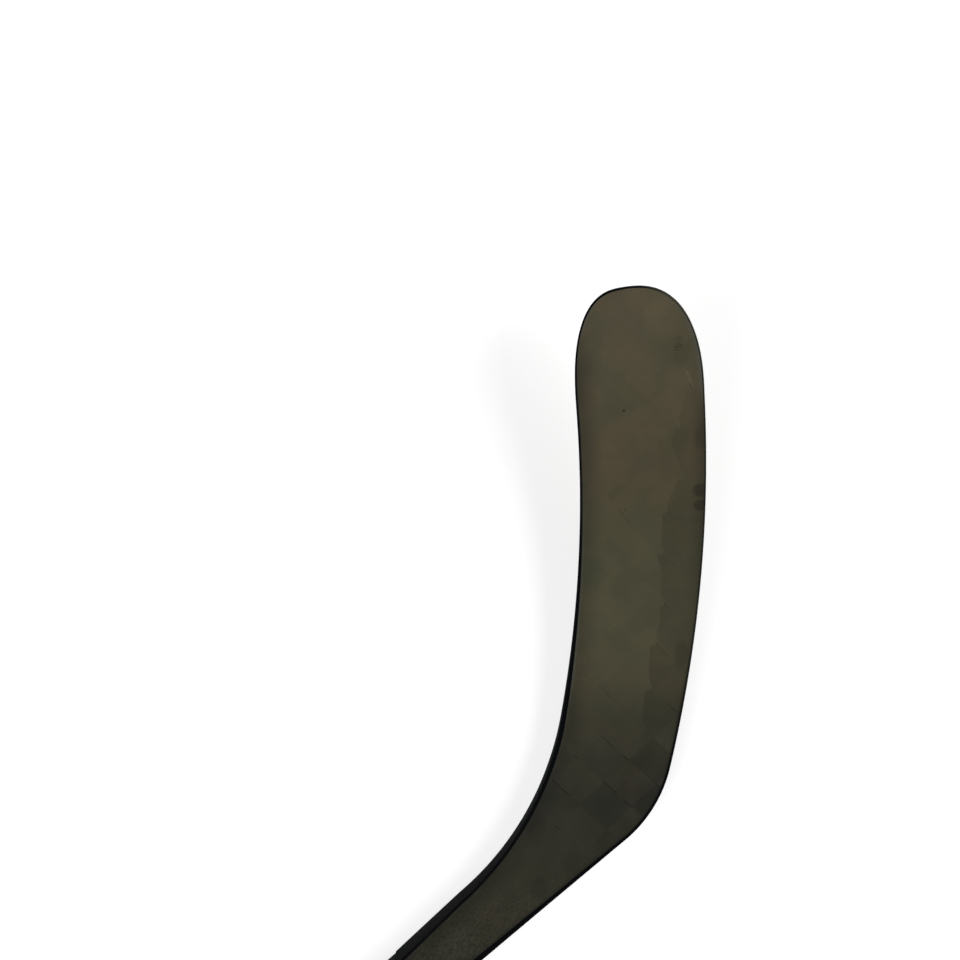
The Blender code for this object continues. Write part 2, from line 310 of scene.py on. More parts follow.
def rim_row(rung, end):
    """A rim's section: its inner edge, the flat, and a rounded arris down to the side."""
    half = depth(rung.station) / 2
    radius = fade(rung.station, ROUND_AT_JOINT, ROUND_AT_TOE)
    row = [(edge_points(rung, *rail_widths(rung.station))[end], -half, half)]
    for step in range(ROUND_STEPS + 1):
        angle = math.radians(90) * step / ROUND_STEPS
        inset = radius * (1 - math.sin(angle))
        top = half - radius * (1 - math.cos(angle))
        row.append((edge_points(rung, inset, inset)[end], -top, top))
    return row


def make_rim(name, node, rows, mat):
    """A painted rim, whose points carry how near they are to the rounded arris."""
    wear = [0.0, WEAR_AT_FLAT]
    wear += [math.sin(math.pi * step / ROUND_STEPS) for step in range(1, ROUND_STEPS + 1)]
    values = {"arris": wear * (2 * len(rows))}
    finish_piece(name, bent_mesh(rows), mat, node, values)


def make_rims(rungs, mat):
    """The ice edge's and the top edge's rims, and the toe's rim that joins them."""
    toe = next(index for index, rung in enumerate(rungs) if rung.angle is not None)
    make_rim("ice_edge_rim", "ice_edge_rail", [rim_row(rung, 0) for rung in rungs[:toe + 1]], mat)
    make_rim("top_edge_rim", "top_edge_rail", [rim_row(rung, 1) for rung in rungs[:toe + 1]], mat)
    tip = Rung(TOE_ICE, TOE_TOP, rungs[-1].station, math.radians(90))
    rows = [rim_row(rung, 0) for rung in rungs[toe:]] + [rim_row(tip, 0)]
    rows += [rim_row(rung, 1) for rung in reversed(rungs[toe:])]
    make_rim("toe_rim", "toe_cap", rows, mat)


def rounded_ring(x, width, height, radius):
    """The corners of a rounded rectangle across the shaft at X."""
    points = []
    corners = ((1, 1, 0), (-1, 1, 90), (-1, -1, 180), (1, -1, 270))
    for side_y, side_z, start in corners:
        for step in range(CORNER_STEPS + 1):
            angle = math.radians(start + 90 * step / CORNER_STEPS)
            y = side_y * (width / 2 - radius) + radius * math.cos(angle)
            z = side_z * (height / 2 - radius) + radius * math.sin(angle)
            points.append(HEEL + Vector((x, y, z)))
    return points


def ring_mesh(rings, tube=False):
    """Bridge rings one to the next; a tube joins its last ring to its first."""
    bm = bmesh.new()
    loops = [[bm.verts.new(point) for point in ring] for ring in rings]
    pairs = list(zip(loops, loops[1:]))
    if tube:
        pairs.append((loops[-1], loops[0]))
    else:
        bm.faces.new(loops[0])
        bm.faces.new(loops[-1])
    for first, second in pairs:
        for here in range(len(first)):
            there = (here + 1) % len(first)
            bm.faces.new((first[here], first[there], second[there], second[here]))
    return bm


def make_shaft(mat):
    """The hollow shaft from the plug's cap to the hosel."""
    butt = BUTT_X + PLUG_CAP
    outer = (SHAFT_WIDTH, SHAFT_DEPTH, SHAFT_CORNER)
    inner = (SHAFT_WIDTH - 2 * SHAFT_WALL, SHAFT_DEPTH - 2 * SHAFT_WALL, SHAFT_CORNER - SHAFT_WALL)
    places = [butt + (JOINT_X - butt) * step / SHAFT_RINGS for step in range(SHAFT_RINGS + 1)]
    rings = [rounded_ring(x, *outer) for x in places]
    rings += [rounded_ring(x, *inner) for x in (places[-1], places[0])]
    finish_piece("shaft", ring_mesh(rings, tube=True), mat, "shaft_tube")


def make_plug(mat):
    """The end cap: rounded shoulders, a shallow groove round it and a sunk panel in its face."""
    rings = []

    def ring(x, inset):
        corner = max(SHAFT_CORNER - inset, PLUG_LEAST_CORNER)
        rings.append(rounded_ring(x, SHAFT_WIDTH - 2 * inset, SHAFT_DEPTH - 2 * inset, corner))

    ring(BUTT_X + PLUG_PANEL_DEPTH, PLUG_PANEL_RIM + PLUG_PANEL_DEPTH)
    ring(BUTT_X, PLUG_PANEL_RIM)
    for step in range(PLUG_ROUND_STEPS + 1):
        angle = math.radians(90) * step / PLUG_ROUND_STEPS
        ring(BUTT_X + PLUG_ROUND * (1 - math.cos(angle)), PLUG_ROUND * (1 - math.sin(angle)))
    for share, inset in PLUG_GROOVE_RUN:
        ring(BUTT_X + PLUG_CAP * share, inset)
    ring(BUTT_X + PLUG_CAP, SHAFT_WALL + PLUG_GAP)
    ring(BUTT_X + PLUG_CAP + PLUG_SPIGOT, SHAFT_WALL + PLUG_GAP)
    finish_piece("end_cap", ring_mesh(rings), mat, "butt_plug")


# --- material building ---------------------------------------------------------------------------

class Shader:
    """Short names for the nodes that the materials are made of."""

    def __init__(self, name):
        self.material = bpy.data.materials.new(name)
        self.material.use_nodes = True
        self.tree = self.material.node_tree
        self.surface = self.tree.nodes["Principled BSDF"]

    def feed(self, socket, value):
        if isinstance(value, bpy.types.NodeSocket):
            self.tree.links.new(value, socket)
        else:
            socket.default_value = value

    def set(self, name, value):
        """Feed one of the surface's own sockets."""
        self.feed(self.surface.inputs[name], value)

    def add(self, kind, inputs, **settings):
        node = self.tree.nodes.new(kind)
        for key, value in settings.items():
            setattr(node, key, value)
        for key, value in inputs.items():
            self.feed(node.inputs[key], value)
        return node

    def math(self, operation, *values):
        return self.add("ShaderNodeMath", dict(enumerate(values)), operation=operation).outputs[0]

    def plus(self, *values):
        total = values[0]
        for value in values[1:]:
            total = self.math("ADD", total, value)
        return total

    def times(self, *values):
        total = values[0]
        for value in values[1:]:
            total = self.math("MULTIPLY", total, value)
        return total

    def less(self, first, second):
        return self.math("SUBTRACT", first, second)

    def flip(self, value):
        return self.math("SUBTRACT", 1.0, value)

    def step(self, value, low, high):
        """0 below low and 1 above high, with a smooth rise between them."""
        node = self.add("ShaderNodeMapRange", {"Value": value, "From Min": low, "From Max": high},
                        interpolation_type="SMOOTHSTEP")
        return node.outputs["Result"]

    def scale(self, value, low, high):
        """A 0 to 1 value carried to low to high."""
        return self.add("ShaderNodeMapRange", {"Value": value, "To Min": low, "To Max": high},
                        clamp=False).outputs["Result"]

    def share(self, value, first, last):
        """How far along a value lies from first to last, held to 0 to 1."""
        inputs = {"Value": value, "From Min": first, "From Max": last}
        return self.add("ShaderNodeMapRange", inputs).outputs["Result"]

    def graph(self, value, stops):
        """A number read off straight runs between (place, number) stops."""
        low = min(number for spot, number in stops)
        high = max(number for spot, number in stops)
        first, last = stops[0][0], stops[-1][0]
        node = self.add("ShaderNodeFloatCurve", {"Value": self.share(value, first, last)})
        points = node.mapping.curves[0].points
        while len(points) < len(stops):
            points.new(0.5, 0.5)
        for point, (spot, number) in zip(points, stops):
            point.location = ((spot - first) / (last - first), (number - low) / (high - low))
            point.handle_type = "VECTOR"
        node.mapping.update()
        return self.scale(node.outputs[0], low, high)

    def ramp(self, value, stops):
        """A colour read off (place, colour) stops."""
        first, last = stops[0][0], stops[-1][0]
        node = self.add("ShaderNodeValToRGB", {"Fac": self.share(value, first, last)})
        bands = node.color_ramp.elements
        while len(bands) < len(stops):
            bands.new(0.5)
        for band, (spot, colour) in zip(bands, stops):
            band.position = (spot - first) / (last - first)
            band.color = (*colour, 1.0)
        return node.outputs["Color"]

    def mix(self, share, first, second, blend="MIX"):
        """Two colours mixed; a colour is given as three numbers or as a socket."""
        colours = {6: first, 7: second}
        for key, colour in colours.items():
            if isinstance(colour, tuple):
                colours[key] = (*colour, 1.0)
        node = self.add("ShaderNodeMix", {0: share, **colours}, data_type="RGBA", blend_type=blend)
        return node.outputs[2]

    def mix_value(self, share, first, second):
        node = self.add("ShaderNodeMix", {0: share, 2: first, 3: second}, data_type="FLOAT")
        return node.outputs[0]

    def times_all(self, triple, factor):
        """A colour or a place with all three of its numbers times the factor."""
        node = self.add("ShaderNodeVectorMath", {0: triple, "Scale": factor}, operation="SCALE")
        return node.outputs[0]

    def vector(self, x, y, z=0.0):
        return self.add("ShaderNodeCombineXYZ", {0: x, 1: y, 2: z}).outputs[0]

    def noise(self, place, scale, detail=2.0, rough=0.5):
        node = self.add("ShaderNodeTexNoise", {"Vector": place, "Scale": scale, "Detail": detail,
                                               "Roughness": rough})
        return node.outputs["Fac"]

    def value_of(self, name):
        return self.add("ShaderNodeAttribute", {}, attribute_name=name).outputs["Fac"]

    def place(self):
        """Where a point is from the heel, in millimetres, along the frame's axes."""
        spot = self.add("ShaderNodeTexCoord", {}).outputs["Object"]
        moved = self.add("ShaderNodeVectorMath", {0: spot, 1: -HEEL}, operation="ADD").outputs[0]
        return self.times_all(moved, MM)

    def split(self, vector):
        node = self.add("ShaderNodeSeparateXYZ", {0: vector})
        return node.outputs[0], node.outputs[1], node.outputs[2]

    def turned(self, x, y, angle):
        """The two coordinates in axes turned by the angle."""
        along_axis = self.plus(self.times(x, math.cos(angle)), self.times(y, math.sin(angle)))
        across_axis = self.less(self.times(y, math.cos(angle)), self.times(x, math.sin(angle)))
        return along_axis, across_axis

    def bump(self, height, distance):
        node = self.add("ShaderNodeBump", {"Height": height, "Distance": distance, "Strength": 1.0})
        self.set("Normal", node.outputs[0])


def srgb(red, green, blue):
    """A colour given as 8-bit display values, as the linear colour that a shader takes."""
    def linear(value):
        share = value / 255
        return share / 12.92 if share <= 0.04045 else ((share + 0.055) / 1.055) ** 2.4
    return tuple(linear(value) for value in (red, green, blue))


# --- carbon faces --------------------------------------------------------------------------------
# Places on a face are in millimetres, along the blade from the heel and up towards its top edge.

TOW_ONE = math.radians(52.5)  # run of the crisp seams, from the blade's length
TOW_TWO = math.radians(-44.0)  # run of the faint seams
PITCH_ONE = 19.4  # millimetres between seams
PITCH_TWO = 21.4
START_ONE = -0.286  # shares of a pitch
START_TWO = 0.332

# Colour along the blade: the cloth's own tones, and partly painted light, the toe's brighter tones
# standing in for the light that the tilted toe catches.
FACE_TONES_AND_PAINTED_LIGHT = (
    (-160, (40, 39, 31)),
    (-60, (47, 46, 35)),
    (-25, (46, 45, 35)),
    (0, (43, 42, 33)),
    (25, (49, 48, 37)),
    (50, (56, 54, 41)),
    (75, (71, 67, 50)),
    (105, (74, 71, 53)),
    (150, (71, 69, 51)),
    (200, (74, 67, 49)),
    (250, (77, 71, 53)),
    (300, (80, 72, 54)),
)

# Graphs along the blade: (place, number) stops.
CHECKER_SHOWS = ((-90, 0.15), (-50, 0.25), (-30, 0.35), (-16, 0.9), (12, 1.3), (30, 1.1),
                 (45, 0.40), (62, 0.10), (300, 0.05))
SEAM_SHOWS = ((-35, 0.05), (-12, 0.8), (0, 1.0), (30, 0.8), (48, 0.45), (70, 0.30), (90, 0.05),
              (300, 0.0))
SEAM_STRETCH = ((-100, 0.0), (42, 0.0), (70, 2.4), (97, 4.8), (150, 8.5), (300, 8.5))
BAND_CHECKER_SHOWS = ((20, 1.0), (45, 0.8), (62, 0.55), (85, 0.30), (200, 0.15))
BAND_SHOWS = ((28, 0.0), (60, 0.85), (80, 1.0), (172, 1.0), (195, 0.55), (215, 0.85),
              (238, 0.6), (260, 0.0))
BAND_TOP = ((40, -12.0), (68, -12.0), (72, -14.0), (96, -12.8), (100, -15.5), (112, -17.5),
            (120, -16.0), (138, -16.0), (149, -11.5), (153, -14.0), (174, -12.0), (197, -20.0),
            (215, -12.0), (235, -16.0), (280, -24.0))
WANDER = ((-70, 22.0), (-25, 8.0), (-8, 0.6), (300, 0.6))  # how far the seams stray
HOSEL_GRAIN = ((-95, 2.8), (-70, 1.9), (-45, 0.5), (20, 0.12), (300, 0.08))
# Painted highlight along the top edge.
TOP_PAINTED_HIGHLIGHT = ((0, 0.0), (45, 0.1), (75, 0.4), (145, 0.35), (190, 0.0), (262, 0.0), (278, 0.4),
           (300, 0.2))
# Painted highlight along the ice edge by the toe.
ICE_PAINTED_HIGHLIGHT = ((235, 0.0), (255, 0.5), (280, 0.4), (295, 0.0))
# Painted shade along the ice edge, within 9 mm of it.
ICE_PAINTED_SHADE = ((90, 0.06), (170, 0.26), (225, 0.30), (245, 0.08), (300, 0.0))
# Painted shade close to the ice edge, in place of the light falling off where it rounds over.
ICE_ROUNDING_PAINTED_SHADE = ((-40, 0.55), (60, 0.5), (110, 0.25), (190, 0.25), (235, 0.2), (255, 0.0))
TOP_PAINT = ((95, 0.0), (130, 0.35), (225, 0.35), (262, 0.0))
# Painted shade along the top edge, within 15 mm of it.
TOP_PAINTED_SHADE = ((-60, 0.34), (170, 0.34), (215, 0.42), (250, 0.52), (275, 0.1))
# Painted highlight on the ice edge's black rim, stronger towards the toe.
ICE_RIM_PAINTED_HIGHLIGHT = ((30, 0.0), (90, 0.35), (200, 0.35), (255, 0.55), (280, 0.95))

# Soft spots on a face: centre, half size, and how much darker they are.
SHADES = (
    ((2.0, -19.0), (17.0, 10.0), 0.22),
    ((-12.0, -5.0), (9.0, 9.0), 0.12),
    ((-17.0, 46.0), (11.0, 8.0), 0.16),
    ((-52.0, 41.0), (9.0, 7.0), 0.18),
    ((-35.0, 24.0), (9.0, 7.0), 0.12),
    ((92.0, -31.0), (11.0, 5.0), 0.22),
    ((110.0, 32.0), (18.0, 6.0), 0.10),
    ((-27.0, 50.0), (7.0, 6.0), -0.10),
    ((-33.0, 37.0), (7.0, 6.0), 0.09),
    ((-58.0, 58.0), (8.0, 7.0), 0.10),
    ((26.0, 32.0), (13.0, 9.0), -0.15),
    ((281.0, 1.0), (16.0, 13.0), -0.14),
)
SPECKS = (
    ((229.8, 15.6), (0.9, 0.9), 0.8),
    ((174.2, 8.9), (0.7, 0.7), 0.4),
    ((171.9, -23.1), (0.6, 0.6), 0.4),
)
SMEARS = (
    ((180.0, -32.5), (4.0, 4.5), 0.50),
    ((188.5, -31.5), (4.8, 5.0), 0.50),
    ((218.5, -28.5), (9.0, 5.0), 0.25),
)
SMEAR_LEAST = 0.52  # share of a smear's darkness that its thinnest spots keep
SCUFF = ((262.0, -11.5), (7.5, 6.0), 0.30)
SCUFF_LINES = 4.6  # radians per millimetre
RUB = ((267.0, -9.5), (5.5, 3.0), 0.28)

# Straight scratches: start, end, width, and how much darker they are.
SCRATCHES = (
    ((165.0, 4.0), (175.5, 13.5), 0.5, 0.30),
    ((243.5, -19.6), (247.5, -17.6), 0.6, 0.35),
    ((245.5, -19.6), (255.0, -14.5), 1.1, -0.22),
)

CELL_DARKER = 0.20  # of the cells where the second tow lies on top
CELL_VARIES = 0.12  # from one cell to the next
CRISP_DARKER = (0.10, 0.48)  # a crisp seam past a light cell, and past a dark one
FAINT_DARKER = 0.08
BAND_DARKER = 0.19
STRAND_SHOWS = 0.24
COOL_HUE = (0.965, 1.012, 1.01)
WARM_HUE = (1.028, 0.990, 0.972)
# Colour of the painted highlights along the rims.
PAINTED_HIGHLIGHT_TONE = (0.072, 0.076, 0.070)
PAINT_TONE = (0.0022, 0.0026, 0.0031)
FACE_ROUGHNESS = 0.42
FACE_SPECULAR = 0.25


def tow_cells(shader, forward, upward):
    """The last value is 1 beside a crisp seam whose cell on the heel's side lies dark.
    """
    wobble = shader.noise(shader.vector(forward, upward), 0.05, 1.0)
    drift = shader.times(shader.less(wobble, 0.5), shader.graph(forward, WANDER))
    stretched = shader.less(forward, shader.graph(forward, SEAM_STRETCH))
    cells = []
    seams = []
    shares = []
    for run, pitch, start in ((TOW_ONE, PITCH_ONE, START_ONE), (TOW_TWO, PITCH_TWO, START_TWO)):
        across = shader.less(shader.times(stretched, abs(math.sin(run))),
                             shader.times(upward, math.cos(run) * math.copysign(1, run)))
        lines = shader.plus(shader.times(shader.plus(across, drift), 1 / pitch), start)
        cells.append(shader.math("FLOOR", lines))
        share = shader.math("FRACT", lines)
        shares.append(share)
        near = shader.math("MINIMUM", share, shader.flip(share))
        seams.append(shader.times(near, pitch))
    odd = shader.math("FLOORED_MODULO", shader.plus(*cells), 2.0)
    own = shader.add("ShaderNodeTexWhiteNoise", {"Vector": shader.vector(*cells)},
                     noise_dimensions="2D").outputs["Value"]
    past_seam = shader.math("LESS_THAN", shares[0], 0.5)
    dark_side = shader.math("ABSOLUTE", shader.less(odd, past_seam))
    return seams, odd, own, dark_side


def fibres(shader, forward, upward, run):
    """Fine streaks along a tow."""
    along_tow, across_tow = shader.turned(forward, upward, run)
    stretched = shader.vector(shader.times(along_tow, 0.06), shader.times(across_tow, 2.2))
    return shader.noise(stretched, 1.0, 3.0, 0.6)


def lower_band(shader, forward, upward, crisp_seam):
    """1 on the band of cloth along the ice edge, whose upper border notches down at crisp seams."""
    notch = shader.times(shader.flip(shader.step(crisp_seam, 0.5, 3.5)), 2.5)
    above = shader.plus(shader.less(upward, shader.graph(forward, BAND_TOP)), notch)
    inside = shader.flip(shader.step(above, -0.6, 0.5))
    return shader.times(inside, shader.graph(forward, BAND_SHOWS))


def mottle(shader, place):
    """Soft patches of two sizes, about 0 on average."""
    broad = shader.less(shader.noise(place, 0.030, 2.0, 0.5), 0.5)
    patch = shader.less(shader.step(shader.noise(place, 0.075, 2.0, 0.45), 0.44, 0.58), 0.5)
    return shader.plus(shader.times(broad, 0.28), shader.times(patch, 0.055))


def border(shader, distance, width):
    """1 along the very edge of a face: the mask of a painted highlight, in place of the light that
    the coat catches where it rounds over.
    """
    return shader.flip(shader.step(distance, width * 0.15, width))


def blots(shader, forward, upward, spots):
    """The darkness of soft spots, full in the middle of each and none outside its half size."""
    parts = []
    for centre, size, darker in spots:
        long_way = shader.times(shader.less(forward, centre[0]), 1 / size[0])
        short_way = shader.times(shader.less(upward, centre[1]), 1 / size[1])
        away = shader.plus(shader.times(long_way, long_way), shader.times(short_way, short_way))
        parts.append(shader.times(shader.flip(shader.step(away, 0.15, 1.0)), darker))
    return shader.plus(*parts)


def stroke(shader, forward, upward, start, end, width):
    """1 on a thin straight scratch between two points, fading out at both ends."""
    run = Vector(end) - Vector(start)
    angle = math.atan2(run.y, run.x)
    along_axis, across_axis = shader.turned(shader.less(forward, start[0]),
                                            shader.less(upward, start[1]), angle)
    tail = run.length * 0.3
    inside = shader.times(shader.step(along_axis, 0.0, tail),
                          shader.flip(shader.step(along_axis, run.length - tail, run.length)))
    thin = shader.flip(shader.step(shader.math("ABSOLUTE", across_axis), width * 0.2, width))
    return shader.times(inside, thin)


def use_marks(shader, forward, upward):
    """Wear on the forehand face: specks, a scratch, fine scuffs by the toe and dark smears."""
    spot = shader.vector(forward, upward)
    uneven = shader.step(shader.noise(spot, 0.55, 2.0), 0.25, 0.70)
    scratches = [shader.times(stroke(shader, forward, upward, start, end, width), darker)
                 for start, end, width, darker in SCRATCHES]
    bent = shader.plus(forward, shader.times(upward, -0.22),
                       shader.times(shader.noise(spot, 0.12, 1.0), 4.0))
    lines = shader.step(shader.math("SINE", shader.times(bent, SCUFF_LINES)), 0.0, 1.0)
    scuffs = shader.times(lines, blots(shader, forward, upward, [SCUFF]))
    rub = shader.times(uneven, blots(shader, forward, upward, [RUB]))
    smears = shader.times(shader.scale(uneven, SMEAR_LEAST, 1.0),
                          blots(shader, forward, upward, SMEARS))
    return shader.plus(blots(shader, forward, upward, SPECKS), *scratches, scuffs, rub, smears)


def edge_painted_shades(shader, forward, to_top, to_ice):
    """Painted shade: factors that darken a face towards its two painted rims."""
    near_top = shader.flip(shader.step(to_top, 0.0, 15.0))
    near_ice = shader.flip(shader.step(to_ice, 0.0, 9.0))
    at_ice = shader.flip(shader.step(to_ice, -0.8, 2.6))
    return [shader.flip(shader.times(near_top, shader.graph(forward, TOP_PAINTED_SHADE))),
            shader.flip(shader.times(near_ice, shader.graph(forward, ICE_PAINTED_SHADE))),
            shader.flip(shader.times(at_ice, shader.graph(forward, ICE_ROUNDING_PAINTED_SHADE)))]


def carbon_face(name, marks):
    """Satin spread-tow carbon: dark and checkered at the heel, brown and smooth to the toe, the toe
    partly painted lighter in place of light; painted shade and highlights at the rims.
    """
    shader = Shader(name)
    place = shader.place()
    forward, upward = shader.turned(*shader.split(place)[:2], LIE)
    to_top = shader.times(shader.value_of("to_top"), MM)
    to_ice = shader.times(shader.value_of("to_ice"), MM)
    seams, odd, own, dark_side = tow_cells(shader, forward, upward)
    band = lower_band(shader, forward, upward, seams[0])

    calm = shader.flip(shader.times(shader.step(upward, 5.0, 30.0), 0.55))
    shows = shader.mix_value(band, shader.times(shader.graph(forward, CHECKER_SHOWS), calm),
                             shader.graph(forward, BAND_CHECKER_SHOWS))
    cell = shader.plus(shader.times(odd, CELL_DARKER),
                       shader.times(shader.less(own, 0.5), CELL_VARIES))
    strand = shader.mix_value(odd, fibres(shader, forward, upward, TOW_ONE),
                              fibres(shader, forward, upward, TOW_TWO))
    strand = shader.less(strand, 0.5)
    crisp = shader.flip(shader.step(seams[0], 0.20, 0.75))
    faint = shader.flip(shader.step(seams[1], 0.10, 0.50))
    broken = shader.step(shader.noise(place, 0.09, 2.0), 0.42, 0.56)
    seam = shader.plus(shader.times(crisp, shader.scale(dark_side, *CRISP_DARKER), broken),
                       shader.times(faint, FAINT_DARKER))
    seam_shows = shader.plus(shader.graph(forward, SEAM_SHOWS), shader.times(band, 0.3))
    grain = shader.less(shader.noise(place, 0.75, 2.0, 0.7), 0.5)
    patches = mottle(shader, place)

    shades = [shader.less(1.04, shader.times(cell, shows)),
              shader.flip(shader.times(band, BAND_DARKER)),
              shader.flip(shader.times(seam, seam_shows)),
              shader.plus(1.0, patches),
              shader.plus(1.0, shader.times(strand, STRAND_SHOWS)),
              shader.plus(1.0, shader.times(grain, shader.graph(forward, HOSEL_GRAIN)))]
    # Painted shade towards both rims.
    shades += edge_painted_shades(shader, forward, to_top, to_ice)
    shades += [shader.flip(blots(shader, forward, upward, [spot])) for spot in SHADES]
    if marks:
        shades.append(shader.flip(use_marks(shader, forward, upward)))

    # The cloth's tones along the blade, partly painted light at the toe.
    colour = shader.ramp(forward, [(spot, srgb(*tone)) for spot, tone in FACE_TONES_AND_PAINTED_LIGHT])
    warm = shader.step(patches, -0.05, 0.05)
    cell_warmth = shader.less(shader.step(own, 0.2, 0.8), shader.times(odd, 0.5))
    warm = shader.mix_value(shader.times(shows, 0.8), warm, cell_warmth)
    colour = shader.mix(1.0, colour, shader.mix(warm, COOL_HUE, WARM_HUE), "MULTIPLY")
    colour = shader.times_all(colour, shader.times(*shades))
    # Painted highlights along both rims.
    painted_highlight = shader.plus(shader.times(border(shader, to_top, 2.4), shader.graph(forward, TOP_PAINTED_HIGHLIGHT)),
                      shader.times(border(shader, to_ice, 3.2), shader.graph(forward, ICE_PAINTED_HIGHLIGHT)))
    colour = shader.mix(painted_highlight, colour, PAINTED_HIGHLIGHT_TONE)
    rim = shader.math("MINIMUM", shader.less(to_top, shader.graph(forward, TOP_PAINT)), to_ice)
    ragged = shader.plus(0.10, shader.times(shader.noise(place, 0.9, 2.0), 0.25))
    painted = shader.flip(shader.math("GREATER_THAN", rim, ragged))

    shader.set("Base Color", shader.mix(painted, colour, PAINT_TONE))
    shader.set("Roughness", shader.plus(FACE_ROUGHNESS, shader.times(patches, 0.5),
                                        shader.times(odd, 0.03)))
    shader.set("Specular IOR Level", FACE_SPECULAR)
    relief = shader.plus(shader.times(strand, 0.5), shader.times(grain, 0.6),
                         shader.times(crisp, -0.8))
    shader.bump(relief, 0.00003)
    return shader.material


# --- other materials -----------------------------------------------------------------------------

RUBBED_PAINT_TONE = (0.006, 0.006, 0.006)
# Colour of the painted highlight on the ice edge's rim.
RIM_PAINTED_HIGHLIGHT_TONE = (0.050, 0.047, 0.034)
PAINT_SPECULAR = 0.018
SHAFT_TONE = srgb(40, 39, 31)
SHAFT_SPECULAR = 0.03
GRIP_TONE = (0.010, 0.010, 0.010)
GRIP_END = -900.0  # millimetres from the heel
KNURL = 3.0  # radians per millimetre
CAP_TONE = (0.012, 0.012, 0.012)
FOAM_TONE = (0.60, 0.56, 0.44)
FOAM_CELL = 0.6  # millimetres
COMPOUND_TONE = (0.020, 0.020, 0.020)
COMPOUND_CELL = 2.0


def edge_paint():
    """Matte black edge paint, rubbed a little lighter along its arrises, with a painted highlight
    on the ice edge's rim towards the toe.
    """
    shader = Shader("edge_paint")
    place = shader.place()
    cloudy = shader.noise(place, 0.08, 4.0, 0.6)
    fine = shader.noise(place, 1.6, 3.0, 0.65)
    patchy = shader.step(shader.noise(place, 0.25, 4.0, 0.7), 0.35, 0.75)
    rubbed = shader.times(shader.value_of("arris"), patchy)
    colour = shader.mix(rubbed, PAINT_TONE, RUBBED_PAINT_TONE)
    colour = shader.times_all(colour, shader.scale(cloudy, 0.7, 1.3))
    forward, upward = shader.turned(*shader.split(place)[:2], LIE)
    # A painted highlight: the ice edge's rim lighter towards the toe.
    ice_side = shader.flip(shader.step(upward, -6.0, 18.0))
    rim_highlight = shader.times(shader.graph(forward, ICE_RIM_PAINTED_HIGHLIGHT), ice_side)
    shader.set("Base Color", shader.mix(rim_highlight, colour, RIM_PAINTED_HIGHLIGHT_TONE))
    shader.set("Roughness", shader.scale(cloudy, 0.60, 0.85))
    shader.set("Specular IOR Level", PAINT_SPECULAR)
    shader.bump(fine, 0.00003)
    return shader.material


def shaft_finish():
    """Wide faces in fine-grained carbon, and painted narrow sides with a tacky grip at the butt."""
    shader = Shader("shaft_laminate")
    place = shader.place()
    x, y, z = shader.split(place)
    off_centre = (TOP_RAIL_AT_JOINT - ICE_RAIL_AT_JOINT) / 2 * MM
    half_band = (SHAFT_WIDTH - TOP_RAIL_AT_JOINT - ICE_RAIL_AT_JOINT) / 2 * MM
    across = shader.math("ABSOLUTE", shader.plus(y, off_centre))
    ragged = shader.times(shader.noise(place, 0.9, 2.0), 0.25)
    painted = shader.math("GREATER_THAN", shader.plus(across, ragged), half_band)
    cloudy = shader.noise(place, 0.035, 3.0, 0.55)
    grain = shader.noise(place, 1.1, 2.0, 0.7)
    drawn_out = shader.vector(shader.times(x, 0.05), shader.times(y, 1.6), z)
    streak = shader.noise(drawn_out, 1.0, 3.0, 0.6)
    factor = shader.times(shader.scale(cloudy, 0.84, 1.16), shader.scale(grain, 0.62, 1.38),
                          shader.scale(streak, 0.86, 1.14))
    carbon = shader.times_all(SHAFT_TONE, factor)
    paint = shader.times_all(PAINT_TONE, shader.scale(cloudy, 0.75, 1.25))
    colour = shader.mix(painted, carbon, paint)

    gripped = shader.flip(shader.step(x, GRIP_END - 2.0, GRIP_END + 2.0))
    knurl_one, knurl_two = shader.turned(x, shader.plus(y, z), math.radians(45))
    dimples = shader.times(shader.math("SINE", shader.times(knurl_one, KNURL)),
                           shader.math("SINE", shader.times(knurl_two, KNURL)))
    shader.set("Base Color", shader.mix(shader.times(gripped, 0.45), colour, GRIP_TONE))
    shader.set("Roughness", shader.plus(shader.scale(cloudy, 0.36, 0.52),
                                        shader.times(painted, 0.26),
                                        shader.times(gripped, shader.flip(painted), 0.16)))
    shader.set("Specular IOR Level", SHAFT_SPECULAR)
    relief = shader.plus(shader.times(grain, 0.5, shader.flip(painted)),
                         shader.times(dimples, gripped, 1.5))
    shader.bump(relief, 0.00004)
    return shader.material


def cap_plastic():
    """Moulded black plastic with a fine grain."""
    shader = Shader("cap_plastic")
    place = shader.place()
    fine = shader.noise(place, 2.4, 3.0, 0.6)
    cloudy = shader.noise(place, 0.12, 3.0)
    shader.set("Base Color", shader.times_all(CAP_TONE, shader.scale(cloudy, 0.75, 1.3)))
    shader.set("Roughness", shader.scale(cloudy, 0.50, 0.72))
    shader.bump(fine, 0.00006)
    return shader.material


def inner_material(name, tone, cell, relief):
    """Foam or moulded compound for the pieces shut inside the blade."""
    shader = Shader(name)
    cells = shader.add("ShaderNodeTexVoronoi", {"Vector": shader.place(), "Scale": 1 / cell})
    bubbles = cells.outputs["Distance"]
    shader.set("Base Color", shader.times_all(tone, shader.scale(bubbles, 0.75, 1.15)))
    shader.set("Roughness", shader.scale(bubbles, 0.95, 0.75))
    shader.bump(bubbles, relief)
    return shader.material


def dress_inner_nodes():
    foam = inner_material("core_foam", FOAM_TONE, FOAM_CELL, 0.0002)
    compound = inner_material("moulded_composite", COMPOUND_TONE, COMPOUND_CELL, 0.00005)
    dressing = {"foam_core_lower": foam, "foam_core_upper": foam,
                "core_rib": compound, "hosel_core": compound}
    for node, mat in dressing.items():
        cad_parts[node].data.materials.clear()
        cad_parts[node].data.materials.append(mat)


# --- stage, light and camera ---------------------------------------------------------------------

